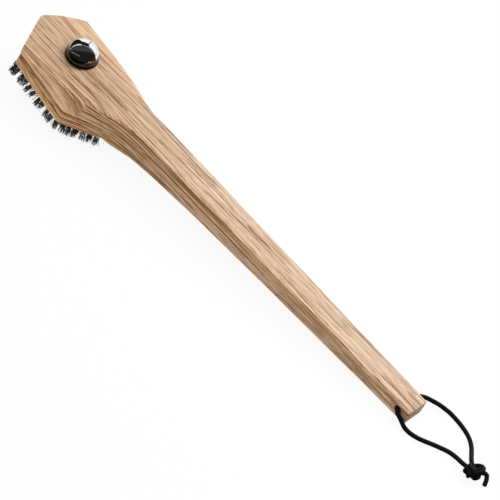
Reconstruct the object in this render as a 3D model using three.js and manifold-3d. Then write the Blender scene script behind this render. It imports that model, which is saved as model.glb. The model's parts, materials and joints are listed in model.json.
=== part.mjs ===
// Grill cleaning brush: a hardwood handle with a pentagonal head, a replaceable
// tufted block clamped under the head by one bolt and a chrome dome nut, and a
// knotted hanging cord. Millimetres, +Z up.
//
// The brush lies at rest on its rear tufts and on the lower edge of the grip's
// end. The wooden pieces are drawn in the handle's own frame, whose XY plane is
// the flat top of the handle, with +X towards the grip's end and the bolt's axis
// on Z. One group turns and drops that frame into the resting position.

import * as THREE from 'three';
import { mergeVertices } from 'three/addons/utils/BufferGeometryUtils.js';
import Module from 'manifold-3d';

// ---- driving dimensions -------------------------------------------------

const GAP = 0.3;               // clearance between pieces that touch

const HEAD_FRONT = -60;        // tip of the head
const GRIP_END = 474;          // square end of the grip
const SHOULDER_X = -39;        // where the point of the head meets its sides
const SHOULDER_Y = 43.3;
const TIP_RADIUS = 5;

const SEAT_DEPTH = 19.5;       // underside of the head below the top, at the bolt
const SEAT_SLOPE = 0.2;        // the head is deeper towards the grip
const SEAT_END = 72;           // where the flat seat ends and the neck curves up
const EDGE_BAND = 3;           // upright band along the head's lower edge
const EDGE_ROUND = 1.8;
const FOOT_ROUND = 3;          // lower edges of the grip
const SIDE_ROUND = 4;          // softness of the crease at the foot of the wings
const WING_ROUND = 7;          // softness of the crease between the head's top and wings
const END_ROUND = 0.8;
const NECK_END = 106;          // from here on the grip tapers evenly
const WING_TURN = 28;          // from here to the neck's end the wings twist into the sides
const HEAD_STEP = 8;           // spacing of the cross-sections along X
const NECK_STEP = 3.5;
const GRIP_STEP = 24;
const FAR = 80;                // beyond the wood, for tools that cut through it

const CORD_HOLE_X = 461.5;
const CORD_HOLE_DROP = 9;      // below the flat top
const CORD_HOLE_R = 4;

const BOLT_R = 3;
const BOLT_HOLE_R = 3.5;
const BOLT_TOP = 10.5;
const BOLT_CHAMFER = 0.6;
const BOLT_HEAD_R = 7;
const BOLT_HEAD_H = 3;
const BOLT_WASHER_R = 9;
const SEAT_WASHER_R = 9;
const WASHER_H = 1.4;
const COUNTERBORE_R = 9.5;
const COUNTERBORE_FLOOR = -27.6;

const DOME_R = 17;
const DOME_SKIRT = 2.2;        // upright rim under the rounded part
const DOME_RISE = 16;
const DOME_WALL = 1.2;
const INSERT_FLANGE_H = 2;
const INSERT_BOSS_R = 6;
const INSERT_TOP = 13;

const BLOCK_THICK = 14;
const BLOCK_OUTLINE = [        // half outline in the block's own plane
  [-58.6, 0], [-38.3, 43.4], [33, 46], [68, 15.5],
];
const BLOCK_CORNER = 2.5;

const ROW_SPACING = 9;
const ROWS_PER_SIDE = 5;
const TUFT_PITCH = 6.8;
const TUFT_WIDTH = 3.2;
const TUFT_HOLE_R = 2.9;
const TUFT_OUT = 12;           // free length of the wires below the block
const TUFT_EDGE = 5.2;         // tuft centre to the block's edge
const WIRE_DEPTH = 1.4;        // draw wire along the back of each row
const WALL_LEFT = 1;           // least wood between a tuft hole and the counterbore

const DOWEL_R = 1.8;
const DOWEL_X = [-27.2, 27.2];
const DOWEL_IN_BLOCK = 7;
const DOWEL_IN_HEAD = 6;

const CORD_R = 2.2;

// Stations of the handle along X: half width of the flat top and how far its edge
// drops below the middle, the crease at the foot of the sloping wing (half width,
// drop) and the outer half width. On the grip the crease lies on the upright side.
const STATIONS = [
  { x: -64, flat: 17.3, crown: 1.5, creaseY: 43.3, drop: 9.6, outer: 43.6 },
  { x: -38, flat: 17.3, crown: 1.5, creaseY: 42.8, drop: 10.4, outer: 43.9 },
  { x: -20, flat: 17.3, crown: 1.5, creaseY: 41.2, drop: 10.2, outer: 44.3 },
  { x: -4, flat: 17.3, crown: 1.5, creaseY: 39.2, drop: 9.2, outer: 44.7 },
  { x: 12, flat: 17.3, crown: 1.4, creaseY: 36.0, drop: 7.9, outer: 45.1 },
  { x: 27, flat: 17.2, crown: 1.1, creaseY: 33.0, drop: 6.4, outer: 45.3 },
  { x: 32, flat: 17.2, crown: 1.0, creaseY: 32.0, drop: 5.7, outer: 44.6 },
  { x: 36, flat: 17.1, crown: 0.9, creaseY: 31.0, drop: 5.1, outer: 42.9 },
  { x: 45, flat: 17.0, crown: 0.7, creaseY: 29.0, drop: 4.0, outer: 37.8 },
  { x: 54, flat: 16.9, crown: 0.4, creaseY: 26.9, drop: 3.2, outer: 32.9 },
  { x: 64, flat: 16.8, crown: 0.2, creaseY: 24.2, drop: 2.9, outer: 28.2 },
  { x: 74, flat: 16.8, crown: 0, creaseY: 21.5, drop: 3.6, outer: 24.3 },
  { x: 84, flat: 16.7, crown: 0, creaseY: 19.3, drop: 5.6, outer: 21.3 },
  { x: 94, flat: 16.6, crown: 0, creaseY: 17.8, drop: 7.6, outer: 18.9 },
  { x: 106, flat: 16.5, crown: 0, creaseY: 16.9, drop: 9.0, outer: 17.1 },
  { x: 125, flat: 16.3, crown: 0, creaseY: 16.3, drop: 9.0, outer: 16.3 },
  { x: GRIP_END, flat: 12.2, crown: 0, creaseY: 12.2, drop: 6.0, outer: 12.2 },
];
const DEPTHS = [
  { x: SEAT_END, depth: seatDepth(SEAT_END) }, { x: 80, depth: 35.4 }, { x: 92, depth: 34.8 },
  { x: 106, depth: 33.0 }, { x: 125, depth: 31.0 }, { x: 150, depth: 29.1 }, { x: 200, depth: 26.3 },
  { x: 300, depth: 22.5 }, { x: 400, depth: 19.6 }, { x: GRIP_END, depth: 18 },
];

// Routes of the cord where it lies, in the resting frame. Each strand runs from
// the middle of the cross hole out of its mouth, down to the table and up into
// the knot. The tail is the one cut end that sticks out of the knot.
const CORD_NEAR = [
  [251.95, -0.15, 10], [251.95, -4, 10], [252, -7.2, 10], [252.5, -10.4, 10], [254, -13.1, 9.9],
  [256.5, -15.2, 9.5], [259.7, -16.2, 8.6], [262.7, -16.5, 7], [265.3, -16.6, 5.2], [268.2, -17, 3.7],
  [271.9, -17.1, 2.7], [276.3, -16.8, 2.35], [281.1, -15.9, 2.3], [286.3, -14.2, 2.3],
  [292.6, -11.1, 2.3], [299, -7.8, 2.3], [305.2, -4.9, 2.3], [310.9, -2.6, 2.4], [316.1, -1.6, 2.8],
  [321, -2, 3.8], [325.4, -3.1, 5.2], [329.5, -4.1, 6.4], [333.3, -4.9, 7.5],
];
const CORD_FAR = [
  [251.95, 0.15, 10], [251.95, 4, 10], [252.05, 8, 10], [252.6, 12, 9.9], [253.9, 15.8, 9.5],
  [256, 19.2, 8.9], [259.2, 22.6, 8], [263.3, 25.6, 6.8], [268.8, 28.7, 5.5], [273.5, 30.8, 4.5],
  [277.9, 32.2, 3.5], [282.2, 33.2, 2.8], [286, 33.4, 2.4], [290, 33.1, 2.3], [297.5, 32, 2.3],
  [304.7, 30.2, 2.3], [311.3, 27.8, 2.3], [317.3, 24.2, 2.4], [322.6, 19.3, 3], [327.4, 13.2, 4.1],
  [331.6, 7.4, 5.6], [335.6, 2.5, 7.3],
];
const CORD_TAIL = [
  [351.5, 6.2, 5.9], [353.3, 4.9, 4.7], [355.2, 2.7, 3.6], [356.7, -0.2, 2.7], [357.6, -2.4, 2.3],
];
const KNOT_CENTRE = [343.3, -3.3, 8.2];
const KNOT_SIZE = [21.5, 17, 16];
const KNOT_TURN = 52;          // degrees from X to the knot's long axis

// ---- tools ----------------------------------------------------------------

const wasm = await Module();
wasm.setup();

function seatDepth(x) {
  return SEAT_DEPTH + SEAT_SLOPE * x;
}

function toSolid(geometry) {
  const bare = geometry.clone();
  bare.deleteAttribute('normal');
  bare.deleteAttribute('uv');
  const merged = mergeVertices(bare, 1e-4);
  return new wasm.Manifold(new wasm.Mesh({
    numProp: 3,
    vertProperties: new Float32Array(merged.attributes.position.array),
    triVerts: new Uint32Array(merged.index.array),
  }));
}

function toGeometry(solid) {
  const mesh = solid.getMesh();
  const geometry = new THREE.BufferGeometry();
  geometry.setAttribute('position', new THREE.BufferAttribute(mesh.vertProperties, 3));
  geometry.setIndex(new THREE.BufferAttribute(mesh.triVerts, 1));
  geometry.computeVertexNormals();
  return geometry;
}

// Reads a key of a table at x with a cubic that never overshoots its stations.
function smoothValue(table, key, x) {
  const last = table.length - 1;
  if (x <= table[0].x) return table[0][key];
  if (x >= table[last].x) return table[last][key];
  const i = table.findIndex((row) => row.x > x) - 1;
  const slope = (k) => (table[k + 1][key] - table[k][key]) / (table[k + 1].x - table[k].x);
  const tangent = (k) => {
    if (k === 0) return slope(0);
    if (k === last) return slope(last - 1);
    const before = slope(k - 1);
    const after = slope(k);
    return before * after <= 0 ? 0 : (2 * before * after) / (before + after);
  };
  const span = table[i + 1].x - table[i].x;
  const t = (x - table[i].x) / span;
  const t2 = t * t;
  const t3 = t2 * t;
  return table[i][key] * (2 * t3 - 3 * t2 + 1) + tangent(i) * span * (t3 - 2 * t2 + t)
    + table[i + 1][key] * (3 * t2 - 2 * t3) + tangent(i + 1) * span * (t3 - t2);
}

// Rounds each corner of an open polyline with a short quadratic curve.
function roundCorners(points, radii, steps) {
  const rounded = [points[0]];
  for (let i = 1; i < points.length - 1; i += 1) {
    const corner = points[i];
    const back = points[i - 1].clone().sub(corner);
    const ahead = points[i + 1].clone().sub(corner);
    const from = corner.clone().add(back.clone().setLength(Math.min(radii[i - 1], back.length() * 0.45)));
    const to = corner.clone().add(ahead.clone().setLength(Math.min(radii[i - 1], ahead.length() * 0.45)));
    rounded.push(...new THREE.QuadraticBezierCurve(from, corner, to).getPoints(steps));
  }
  rounded.push(points[points.length - 1]);
  return rounded;
}

function extruded(shape, depth, curveSegments = 8) {
  return new THREE.ExtrudeGeometry(shape, { depth, bevelEnabled: false, curveSegments });
}

function cylinder(radius, bottom, top, segments = 32) {
  const geometry = new THREE.CylinderGeometry(radius, radius, top - bottom, segments);
  return geometry.rotateX(Math.PI / 2).translate(0, 0, (top + bottom) / 2);
}

// Turned piece about Z from a profile of [radius, z] that runs down its outside.
function lathe(profile, segments) {
  const upwards = profile.map(([r, z]) => new THREE.Vector2(r, z)).reverse();
  return new THREE.LatheGeometry(upwards, segments).rotateX(Math.PI / 2);
}

// Closed outline, symmetrical about the X axis, from its +Y half.
function mirroredShape(half, radius) {
  const other = half.filter(([, y]) => y > 0).map(([x, y]) => [x, -y]).reverse();
  const corners = [...half, ...other].map(([x, y]) => new THREE.Vector2(x, y));
  const shape = new THREE.Shape();
  corners.forEach((corner, i) => {
    const before = corners[(i + corners.length - 1) % corners.length];
    const after = corners[(i + 1) % corners.length];
    const from = corner.clone().add(before.clone().sub(corner).setLength(radius));
    const to = corner.clone().add(after.clone().sub(corner).setLength(radius));
    if (i === 0) shape.moveTo(from.x, from.y);
    else shape.lineTo(from.x, from.y);
    shape.quadraticCurveTo(corner.x, corner.y, to.x, to.y);
  });
  return shape;
}

// ---- handle -----------------------------------------------------------------

function depthAt(x) {
  return x <= SEAT_END ? seatDepth(x) : smoothValue(DEPTHS, 'depth', x);
}

// Cross-section of the handle at x as a closed ring of [y, z], which starts at
// the middle of the top and goes round by the +Y side. Inset shrinks it.
function sectionRing(x, inset) {
  const value = (key) => smoothValue(STATIONS, key, x) - inset;
  const bottom = -depthAt(x) + inset;
  const onGrip = THREE.MathUtils.smoothstep(x, SEAT_END, NECK_END);
  const edge = THREE.MathUtils.lerp(WING_ROUND, EDGE_ROUND, onGrip);
  const foot = THREE.MathUtils.lerp(EDGE_ROUND, FOOT_ROUND, onGrip);
  const half = roundCorners([
    new THREE.Vector2(0, -inset),
    new THREE.Vector2(value('flat'), -smoothValue(STATIONS, 'crown', x) - inset),
    new THREE.Vector2(value('creaseY'), -smoothValue(STATIONS, 'drop', x)),
    new THREE.Vector2(value('outer'), bottom + EDGE_BAND),
    new THREE.Vector2(value('outer'), bottom),
    new THREE.Vector2(0, bottom),
  ], [edge, SIDE_ROUND, EDGE_ROUND, foot], 3);
  const other = half.slice(1, -1).reverse().map((p) => new THREE.Vector2(-p.x, p.y));
  return [...half, ...other];
}

function loftStations() {
  const stations = [];
  const stepAt = (x) => {
    if (x < WING_TURN) return HEAD_STEP;
    return x < NECK_END ? NECK_STEP : GRIP_STEP;
  };
  const last = GRIP_END - GRIP_STEP / 2;
  for (let x = STATIONS[0].x; x < last; x += stepAt(x)) stations.push({ x, inset: 0 });
  for (const angle of [0, Math.PI / 4, Math.PI / 2]) {
    stations.push({
      x: GRIP_END - END_ROUND * (1 - Math.sin(angle)),
      inset: END_ROUND * (1 - Math.cos(angle)),
    });
  }
  return stations;
}

// A cylinder whose rings are moved onto the cross-sections of the handle.
function loftedHandle() {
  const stations = loftStations();
  const rings = stations.map(({ x, inset }) => sectionRing(x, inset));
  const count = rings[0].length;
  const rows = stations.length - 1;
  const geometry = new THREE.CylinderGeometry(1, 1, 1, count, rows);
  const position = geometry.attributes.position;
  for (let i = 0; i < position.count; i += 1) {
    const across = position.getX(i);
    const up = position.getZ(i);
    const row = Math.round((0.5 - position.getY(i)) * rows);
    const { x } = stations[row];
    if (Math.hypot(across, up) < 0.5) {
      position.setXYZ(i, x, 0, -depthAt(x) / 2);
    } else {
      const turn = Math.atan2(across, up) / (2 * Math.PI);
      const point = rings[row][(Math.round(turn * count) + count) % count];
      position.setXYZ(i, x, point.x, point.y);
    }
  }
  return geometry;
}

function headPlan() {
  return mirroredShape([
    [HEAD_FRONT, 0], [SHOULDER_X, SHOULDER_Y], [SEAT_END, FAR], [GRIP_END + FAR, FAR],
  ], TIP_RADIUS);
}

function makeHandle() {
  const plan = extruded(headPlan(), 2 * FAR).translate(0, 0, -FAR);
  let solid = toSolid(loftedHandle()).intersect(toSolid(plan));
  solid = solid.subtract(toSolid(cylinder(BOLT_HOLE_R, -FAR, FAR)));
  for (const x of DOWEL_X) {
    const mouth = -seatDepth(x);
    solid = solid.subtract(toSolid(
      cylinder(DOWEL_R + GAP, -FAR, mouth + DOWEL_IN_HEAD + GAP, 16).translate(x, 0, 0),
    ));
  }
  const crossHole = cylinder(CORD_HOLE_R, -FAR, FAR, 24).rotateX(Math.PI / 2)
    .translate(CORD_HOLE_X, 0, -CORD_HOLE_DROP);
  return toGeometry(solid.subtract(toSolid(crossHole)));
}

// ---- brush block, in its own frame: top face on the XY plane ------------------

const SEAT_TILT = Math.atan(SEAT_SLOPE);
const BLOCK_DROP = SEAT_DEPTH + GAP / Math.cos(SEAT_TILT);

// Takes a geometry from the handle's frame into the block's.
function intoBlock(geometry) {
  return geometry.translate(0, 0, BLOCK_DROP).rotateY(-SEAT_TILT);
}

// Reach of the block along X at a distance y from its middle line.
function blockReach(y) {
  const reach = [Infinity, -Infinity];
  for (let i = 0; i < BLOCK_OUTLINE.length - 1; i += 1) {
    const [x0, y0] = BLOCK_OUTLINE[i];
    const [x1, y1] = BLOCK_OUTLINE[i + 1];
    if ((y - y0) * (y - y1) <= 0) {
      const x = x0 + ((x1 - x0) * (y - y0)) / (y1 - y0);
      reach[0] = Math.min(reach[0], x);
      reach[1] = Math.max(reach[1], x);
    }
  }
  if (y < BLOCK_OUTLINE[BLOCK_OUTLINE.length - 1][1]) reach[1] = BLOCK_OUTLINE[BLOCK_OUTLINE.length - 1][0];
  return reach;
}

// Rows of tufts on the +Y half, each as its y and the X places of its tufts. The
// row beside the bolt is in two lengths.
function tuftRows() {
  const rows = [];
  const boreX = (BLOCK_THICK / 2) * SEAT_SLOPE;
  for (let row = 0; row < ROWS_PER_SIDE; row += 1) {
    const y = (row + 0.5) * ROW_SPACING;
    const offset = row % 2 === 0 ? TUFT_PITCH / 2 : 0;
    const [front, rear] = blockReach(y);
    const places = [];
    const first = Math.ceil((front + TUFT_EDGE - offset) / TUFT_PITCH);
    for (let x = first * TUFT_PITCH + offset; x <= rear - TUFT_EDGE; x += TUFT_PITCH) {
      if (Math.hypot(x - boreX, y) > COUNTERBORE_R + TUFT_HOLE_R + WALL_LEFT) places.push(x);
    }
    if (row === 0) {
      rows.push({ name: '1_front', y, places: places.filter((x) => x < 0) });
      rows.push({ name: '1_rear', y, places: places.filter((x) => x > 0) });
    } else {
      rows.push({ name: `${row + 1}`, y, places });
    }
  }
  return rows;
}

// One row: a draw wire along the back and the tufts that it holds.
function rowGeometry(places) {
  const half = TUFT_WIDTH / 2;
  const tip = -BLOCK_THICK - TUFT_OUT;
  const wireLow = -GAP - WIRE_DEPTH;
  const outline = [[places[0] - half, -GAP], [places[0] - half, tip]];
  places.forEach((x, i) => {
    if (i > 0) outline.push([x - half, wireLow], [x - half, tip]);
    outline.push([x + half, tip]);
    if (i < places.length - 1) outline.push([x + half, wireLow]);
  });
  outline.push([places[places.length - 1] + half, -GAP]);
  const shape = new THREE.Shape(outline.map(([x, z]) => new THREE.Vector2(x, z)));
  return extruded(shape, TUFT_WIDTH).rotateX(Math.PI / 2).translate(0, half, 0);
}

function makeBlock() {
  const tools = [
    intoBlock(cylinder(BOLT_HOLE_R, -FAR, FAR)),
    intoBlock(cylinder(COUNTERBORE_R, -FAR, COUNTERBORE_FLOOR)),
    ...DOWEL_X.map((x) => intoBlock(
      cylinder(DOWEL_R + GAP, -seatDepth(x) - DOWEL_IN_BLOCK - GAP, 0, 16).translate(x, 0, 0),
    )),
  ];
  for (const side of [1, -1]) {
    for (const { y, places } of tuftRows()) {
      const reach = TUFT_WIDTH / 2 + GAP;
      const length = places[places.length - 1] - places[0] + 2 * reach;
      const groove = new THREE.BoxGeometry(length, 2 * reach, 2 * (WIRE_DEPTH + 2 * GAP));
      tools.push(groove.translate(places[0] - reach + length / 2, side * y, 0));
      for (const x of places) {
        tools.push(cylinder(TUFT_HOLE_R, -BLOCK_THICK - 1, 1, 6).translate(x, side * y, 0));
      }
    }
  }
  const outline = extruded(mirroredShape(BLOCK_OUTLINE, BLOCK_CORNER), BLOCK_THICK, 3);
  const blank = toSolid(outline.translate(0, 0, -BLOCK_THICK));
  return toGeometry(tools.reduce((solid, tool) => solid.subtract(toSolid(tool)), blank));
}

// ---- fasteners ----------------------------------------------------------------

function makeBolt() {
  const under = COUNTERBORE_FLOOR - WASHER_H - 2 * GAP;
  return lathe([
    [0, BOLT_TOP], [BOLT_R - BOLT_CHAMFER, BOLT_TOP], [BOLT_R, BOLT_TOP - BOLT_CHAMFER], [BOLT_R, under],
    [BOLT_HEAD_R, under], [BOLT_HEAD_R * 0.93, under - BOLT_HEAD_H * 0.5],
    [BOLT_HEAD_R * 0.6, under - BOLT_HEAD_H * 0.9], [0, under - BOLT_HEAD_H],
  ], 24);
}

function makeWasher(outer, top) {
  const inner = BOLT_R + GAP;
  return lathe([
    [inner, top], [outer, top], [outer, top - WASHER_H], [inner, top - WASHER_H], [inner, top],
  ], 32);
}

// Quarter of an ellipse from its foot at the given radius up to the axis.
function domeArc(radius, foot, rise, steps) {
  return Array.from({ length: steps + 1 }, (_, i) => {
    const angle = (i / steps) * (Math.PI / 2);
    return i === steps ? [0, foot + rise] : [radius * Math.cos(angle), foot + rise * Math.sin(angle)];
  });
}

function makeDomeShell() {
  const foot = GAP + DOME_SKIRT;
  const inner = DOME_R - DOME_WALL;
  return lathe([
    ...domeArc(DOME_R, foot, DOME_RISE, 10).reverse(), [DOME_R, GAP],
    [inner, GAP], ...domeArc(inner, foot, DOME_RISE - DOME_WALL, 7),
  ], 48);
}

function makeDomeInsert() {
  const bore = BOLT_R + GAP;
  const low = 2 * GAP + WASHER_H;
  const flange = DOME_R - DOME_WALL - GAP;
  return lathe([
    [bore, INSERT_TOP], [INSERT_BOSS_R, INSERT_TOP], [INSERT_BOSS_R, low + INSERT_FLANGE_H],
    [flange, low + INSERT_FLANGE_H], [flange, low], [bore, low], [bore, INSERT_TOP],
  ], 32);
}

// ---- cord -----------------------------------------------------------------------

function cordTube(points, steps) {
  const section = new THREE.Shape().absarc(0, 0, CORD_R, 0, 2 * Math.PI);
  const extrudePath = new THREE.CatmullRomCurve3(points.map((p) => new THREE.Vector3(...p)));
  return new THREE.ExtrudeGeometry(section, {
    steps, bevelEnabled: false, curveSegments: 4, extrudePath,
  });
}

// The knot's outer shape: a ball pulled out to its three widths.
function makeKnot() {
  const ball = new THREE.SphereGeometry(0.5, 16, 10).scale(...KNOT_SIZE);
  return ball.rotateZ(THREE.MathUtils.degToRad(KNOT_TURN)).translate(...KNOT_CENTRE);
}

// ---- assembly ---------------------------------------------------------------------

const WOOD = { color: 0xcfa678, roughness: 0.6, metalness: 0 };
const CHROME = { color: 0xd8d8d8, roughness: 0.08, metalness: 1 };
const STEEL = { color: 0xa8a8a8, roughness: 0.35, metalness: 1 };
const WIRE = { color: 0x4a4a4a, roughness: 0.45, metalness: 0.9 };
const CORD = { color: 0x1c1c1c, roughness: 0.7, metalness: 0 };

function addPiece(group, name, geometry, finish) {
  const mesh = new THREE.Mesh(geometry, new THREE.MeshStandardMaterial(finish));
  mesh.name = name;
  group.add(mesh);
  return mesh;
}

// The line that the brush lies on runs from the tips of its rearmost tufts to the
// lower edge of the grip's end.
const rearTuft = Math.max(...tuftRows().flatMap(({ places }) => places)) + TUFT_WIDTH / 2;
const tuftTip = new THREE.Vector2(rearTuft, -BLOCK_THICK - TUFT_OUT)
  .rotateAround(new THREE.Vector2(), -SEAT_TILT).add(new THREE.Vector2(0, -BLOCK_DROP));
const gripFoot = new THREE.Vector2(GRIP_END - END_ROUND, -depthAt(GRIP_END));
const REST_TILT = Math.atan2(gripFoot.y - tuftTip.y, gripFoot.x - tuftTip.x);

const brush = new THREE.Group();
brush.rotation.y = REST_TILT;
addPiece(brush, 'handle', makeHandle(), WOOD);
addPiece(brush, 'clamp_bolt', makeBolt(), STEEL);
addPiece(brush, 'bolt_washer', makeWasher(BOLT_WASHER_R, COUNTERBORE_FLOOR - GAP), STEEL);
addPiece(brush, 'seat_washer', makeWasher(SEAT_WASHER_R, GAP + WASHER_H), STEEL);
addPiece(brush, 'dome_insert', makeDomeInsert(), STEEL);
addPiece(brush, 'dome_shell', makeDomeShell(), CHROME);
DOWEL_X.forEach((x, i) => {
  const seat = -seatDepth(x);
  const dowel = cylinder(DOWEL_R, seat - DOWEL_IN_BLOCK, seat + DOWEL_IN_HEAD, 16);
  addPiece(brush, i === 0 ? 'dowel_front' : 'dowel_rear', dowel.translate(x, 0, 0), STEEL);
});

const block = new THREE.Group();
block.position.z = -BLOCK_DROP;
block.rotation.y = SEAT_TILT;
brush.add(block);
addPiece(block, 'brush_block', makeBlock(), WOOD);
for (const [side, sign] of [['left', 1], ['right', -1]]) {
  for (const { name, y, places } of tuftRows()) {
    const row = addPiece(block, `tufts_${side}_${name}`, rowGeometry(places), WIRE);
    row.position.y = sign * y;
  }
}

// Stand the turned brush on z = 0 with its box centred on the origin.
brush.updateMatrixWorld(true);
const bounds = new THREE.Box3().setFromObject(brush, true);
brush.position.set(-(bounds.min.x + bounds.max.x) / 2, 0, -bounds.min.z);

const part = new THREE.Group();
part.add(brush);
addPiece(part, 'cord_near', cordTube(CORD_NEAR, 13), CORD);
addPiece(part, 'cord_far', cordTube(CORD_FAR, 16), CORD);
addPiece(part, 'cord_knot', makeKnot(), CORD);
addPiece(part, 'cord_tail', cordTube(CORD_TAIL, 4), CORD);

export default part;
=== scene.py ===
"""Grill brush with an oak handle, a wired oak block, a chrome dome nut and a knotted cord."""

import json
import math
import random

import bmesh
import bpy
from mathutils import Matrix, Vector


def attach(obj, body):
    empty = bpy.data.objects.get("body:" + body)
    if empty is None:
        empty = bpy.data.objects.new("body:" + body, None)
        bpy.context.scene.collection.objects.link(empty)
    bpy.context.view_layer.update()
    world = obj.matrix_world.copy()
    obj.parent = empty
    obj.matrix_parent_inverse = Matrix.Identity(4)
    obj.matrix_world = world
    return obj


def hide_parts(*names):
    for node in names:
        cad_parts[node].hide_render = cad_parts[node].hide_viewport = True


bl_info = {
    "name": "Oak Grill Brush",
    "version": (1, 0, 0),
    "blender": (4, 5, 0),
    "location": "3D View > Sidebar > Grill Brush",
    "description": "Builds the pieces of an oak grill brush around its packed model",
    "category": "Object",
}

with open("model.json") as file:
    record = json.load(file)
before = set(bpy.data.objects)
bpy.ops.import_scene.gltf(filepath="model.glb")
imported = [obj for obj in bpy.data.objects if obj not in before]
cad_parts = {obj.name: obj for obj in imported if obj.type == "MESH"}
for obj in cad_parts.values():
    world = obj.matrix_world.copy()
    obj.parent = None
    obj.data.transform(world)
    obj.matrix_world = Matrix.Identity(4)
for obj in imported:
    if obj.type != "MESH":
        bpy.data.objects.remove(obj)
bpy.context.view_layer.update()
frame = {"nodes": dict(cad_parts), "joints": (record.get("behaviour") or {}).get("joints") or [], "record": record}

MM = 0.001
JOINTS = {joint["name"]: joint for joint in frame["joints"]}
BOLT_AXIS = Vector(JOINTS["nut_turn"]["axis"])
BOLT_POINT = Vector(JOINTS["nut_turn"]["pos_m"])
REST_TILT = math.atan2(BOLT_AXIS.x, BOLT_AXIS.z)

# How the block is seated under the handle: the seat's slope along X, its depth under
# the flat top at the bolt and the gap between the two, both in millimetres.
SEAT_TILT = math.atan(0.2)
SEAT_DEPTH = 19.5
SEAT_GAP = 0.3
BLOCK_DROP = (SEAT_DEPTH + SEAT_GAP / math.cos(SEAT_TILT)) * MM

# The handle's frame has the bolt's axis on Z and the flat top of the handle as XY.
# The block's frame has the block's top face as XY. Both run along X to the grip.
HANDLE_FRAME = Matrix.Translation(BOLT_POINT) @ Matrix.Rotation(REST_TILT, 4, "Y")
BLOCK_SEAT = Matrix.Translation((0, 0, -BLOCK_DROP)) @ Matrix.Rotation(SEAT_TILT, 4, "Y")
BLOCK_FRAME = HANDLE_FRAME @ BLOCK_SEAT

# Routes of the two strands, the tail and the knot, in metres, as the model has them.
NEAR_ROUTE = [
    (0.25195, -0.00015, 0.01), (0.25195, -0.004, 0.01), (0.252, -0.0072, 0.01),
    (0.2525, -0.0104, 0.01), (0.254, -0.0131, 0.0099), (0.2565, -0.0152, 0.0095),
    (0.2597, -0.0162, 0.0086), (0.2627, -0.0165, 0.007), (0.2653, -0.0166, 0.0052),
    (0.2682, -0.017, 0.0037), (0.2719, -0.0171, 0.0027), (0.2763, -0.0168, 0.00235),
    (0.2811, -0.0159, 0.0023), (0.2863, -0.0142, 0.0023), (0.2926, -0.0111, 0.0023),
    (0.299, -0.0078, 0.0023), (0.3052, -0.0049, 0.0023), (0.3109, -0.0026, 0.0024),
    (0.3161, -0.0016, 0.0028), (0.321, -0.002, 0.0038), (0.3254, -0.0031, 0.0052),
    (0.3295, -0.0041, 0.0064), (0.3333, -0.0049, 0.0075),
]
FAR_ROUTE = [
    (0.25195, 0.00015, 0.01), (0.25195, 0.004, 0.01), (0.25205, 0.008, 0.01), (0.2526, 0.012, 0.0099),
    (0.2539, 0.0158, 0.0095), (0.256, 0.0192, 0.0089), (0.2592, 0.0226, 0.008),
    (0.2633, 0.0256, 0.0068), (0.2688, 0.0287, 0.0055), (0.2735, 0.0308, 0.0045),
    (0.2779, 0.0322, 0.0035), (0.2822, 0.0332, 0.0028), (0.286, 0.0334, 0.0024),
    (0.29, 0.0331, 0.0023), (0.2975, 0.032, 0.0023), (0.3047, 0.0302, 0.0023),
    (0.3113, 0.0278, 0.0023), (0.3173, 0.0242, 0.0024), (0.3226, 0.0193, 0.003),
    (0.3274, 0.0132, 0.0041), (0.3316, 0.0074, 0.0056), (0.3356, 0.0025, 0.0073),
]
CUT_TAIL = [
    (0.3515, 0.0062, 0.0059), (0.3533, 0.0049, 0.0047), (0.3552, 0.0027, 0.0036),
    (0.3567, -0.0002, 0.0027), (0.3576, -0.0024, 0.0023),
]
KNOT_CENTRE = Vector((0.3433, -0.0033, 0.0082))
KNOT_SIZE = Vector((0.0215, 0.017, 0.016))
KNOT_TURN = math.radians(52)
CORD_DIAMETER = 0.0044


# ---- sizes and colours that a user may change -----------------------------------

def colour_property(name, description, rgb):
    return bpy.props.FloatVectorProperty(
        name=name, description=description, default=rgb, min=0, max=1, size=3, subtype="COLOR")


def length_property(name, description, metres):
    return bpy.props.FloatProperty(
        name=name, description=description, default=metres, min=0, precision=5, unit="LENGTH")


class OakSettings(bpy.types.PropertyGroup):
    """Colours of the two oak pieces."""
    handle_light: colour_property(
        "Handle light", "Colour of the handle between its lines", (0.71, 0.54, 0.395))
    handle_dark: colour_property(
        "Handle dark", "Colour of the handle's dense streaks", (0.52, 0.30, 0.16))
    handle_line: colour_property(
        "Handle lines", "Colour of the handle's fine lines and pores", (0.24, 0.115, 0.05))
    block_light: colour_property(
        "Block light", "Colour of the block between its lines", (1.0, 0.70, 0.42))
    block_dark: colour_property(
        "Block dark", "Colour of the block's dense streaks", (0.54, 0.27, 0.11))
    block_line: colour_property(
        "Block lines", "Colour of the block's fine lines and pores", (0.22, 0.09, 0.035))
    edge_round: length_property("Edge rounding", "Rounding of the sawn edges of the handle", 0.0011)


class WireSettings(bpy.types.PropertyGroup):
    """The tufts of crimped wire."""
    wires: bpy.props.IntProperty(
        name="Wires", description="Wires in one tuft", default=44, min=3, max=90)
    radius: length_property("Wire radius", "Half the thickness of one wire", 0.00022)
    crimp: length_property("Crimp", "How far the waves of a wire reach sideways", 0.00026)
    colour: colour_property("Wire colour", "Colour of the drawn wire", (0.15, 0.15, 0.145))
    seed: bpy.props.IntProperty(
        name="Seed", description="Start of the random draws", default=7, min=0)


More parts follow.
